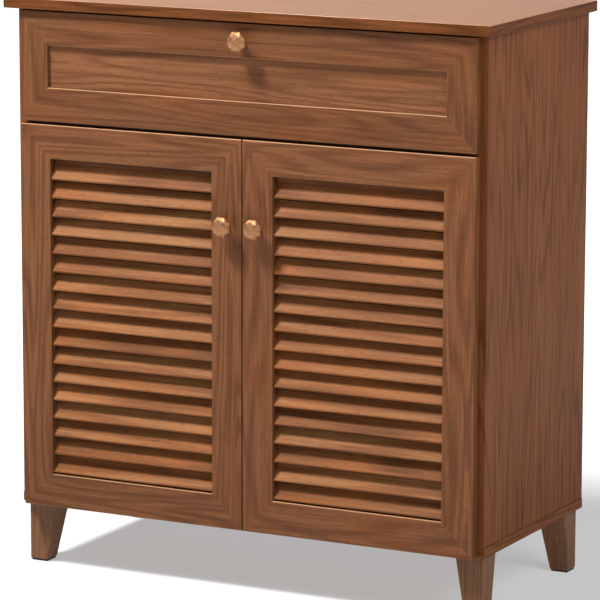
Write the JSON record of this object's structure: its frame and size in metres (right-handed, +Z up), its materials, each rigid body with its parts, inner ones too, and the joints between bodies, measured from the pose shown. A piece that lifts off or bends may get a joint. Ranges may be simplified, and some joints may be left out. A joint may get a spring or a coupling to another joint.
{
  "type": "shoe cabinet",
  "caption": "Free-standing shoe cabinet: louvred side-hinged doors under a knobbed drawer, shelves inside, tapered legs.",
  "frame": {"origin": "on the floor, under the centre of the bounding box", "axes": "+Z up; the doors and drawer face -Y; +X is to the right of someone facing the doors"},
  "size_m": [0.8, 0.3956, 0.87],
  "materials": {
    "top_walnut": "satin walnut-pattern foil on board, slightly worn to a paler tone by the light",
    "case_walnut": "satin walnut-pattern foil on board, vertical grain",
    "front_walnut": "satin walnut-pattern foil, grain along each member",
    "slat_walnut": "satin walnut-pattern foil on slats",
    "leg_walnut": "stained solid wood, satin",
    "inner_board": "satin foil on board",
    "hardboard": "matt thin hardboard",
    "knob_bronze": "brushed champagne bronze",
    "steel": "nickel-plated pressed steel"
  },
  "bodies": {
    "case": {"top_panel": "top_walnut", "bottom_panel": "case_walnut", "left_side_panel": "case_walnut", "right_side_panel": "case_walnut", "back_panel": "hardboard", "drawer_divider": "inner_board", "shelf_1": "inner_board", "shelf_1_pin_left_front": "steel", "shelf_1_pin_left_rear": "steel", "shelf_1_pin_right_front": "steel", "shelf_1_pin_right_rear": "steel", "shelf_2": "inner_board", "shelf_2_pin_left_front": "steel", "shelf_2_pin_left_rear": "steel", "shelf_2_pin_right_front": "steel", "shelf_2_pin_right_rear": "steel", "shelf_3": "inner_board", "shelf_3_pin_left_front": "steel", "shelf_3_pin_left_rear": "steel", "shelf_3_pin_right_front": "steel", "shelf_3_pin_right_rear": "steel", "front_left_leg": "leg_walnut", "front_right_leg": "leg_walnut", "rear_left_leg": "leg_walnut", "rear_right_leg": "leg_walnut", "left_lower_hinge_arm": "steel", "left_upper_hinge_arm": "steel", "left_case_runner": "steel", "right_lower_hinge_arm": "steel", "right_upper_hinge_arm": "steel", "right_case_runner": "steel"},
    "drawer": {"drawer_top_rail": "front_walnut", "drawer_bottom_rail": "front_walnut", "drawer_left_stile": "front_walnut", "drawer_right_stile": "front_walnut", "drawer_front_panel": "front_walnut", "drawer_knob": "knob_bronze", "drawer_left_side": "inner_board", "drawer_right_side": "inner_board", "drawer_back": "inner_board", "drawer_floor": "hardboard", "left_drawer_runner": "steel", "right_drawer_runner": "steel"},
    "left_door": {"left_door_top_rail": "front_walnut", "left_door_bottom_rail": "front_walnut", "left_door_left_stile": "front_walnut", "left_door_right_stile": "front_walnut", "left_door_louvre": "slat_walnut", "left_door_knob": "knob_bronze", "left_door_lower_hinge_cup": "steel", "left_door_upper_hinge_cup": "steel"},
    "right_door": {"right_door_top_rail": "front_walnut", "right_door_bottom_rail": "front_walnut", "right_door_left_stile": "front_walnut", "right_door_right_stile": "front_walnut", "right_door_louvre": "slat_walnut", "right_door_knob": "knob_bronze", "right_door_lower_hinge_cup": "steel", "right_door_upper_hinge_cup": "steel"}
  },
  "joints": [
    {"name": "left_door_hinge", "type": "hinge", "parent": "case", "child": "left_door", "pos_m": [-0.3725, -0.1708, 0.388], "axis": [0, 0, -1], "range_deg": [0, 110]},
    {"name": "right_door_hinge", "type": "hinge", "parent": "case", "child": "right_door", "pos_m": [0.3725, -0.1708, 0.388], "axis": [0, 0, 1], "range_deg": [0, 110]},
    {"name": "drawer_slide", "type": "slide", "parent": "case", "child": "drawer", "axis": [0, -1, 0], "range_m": [0, 0.24]}
  ]
}
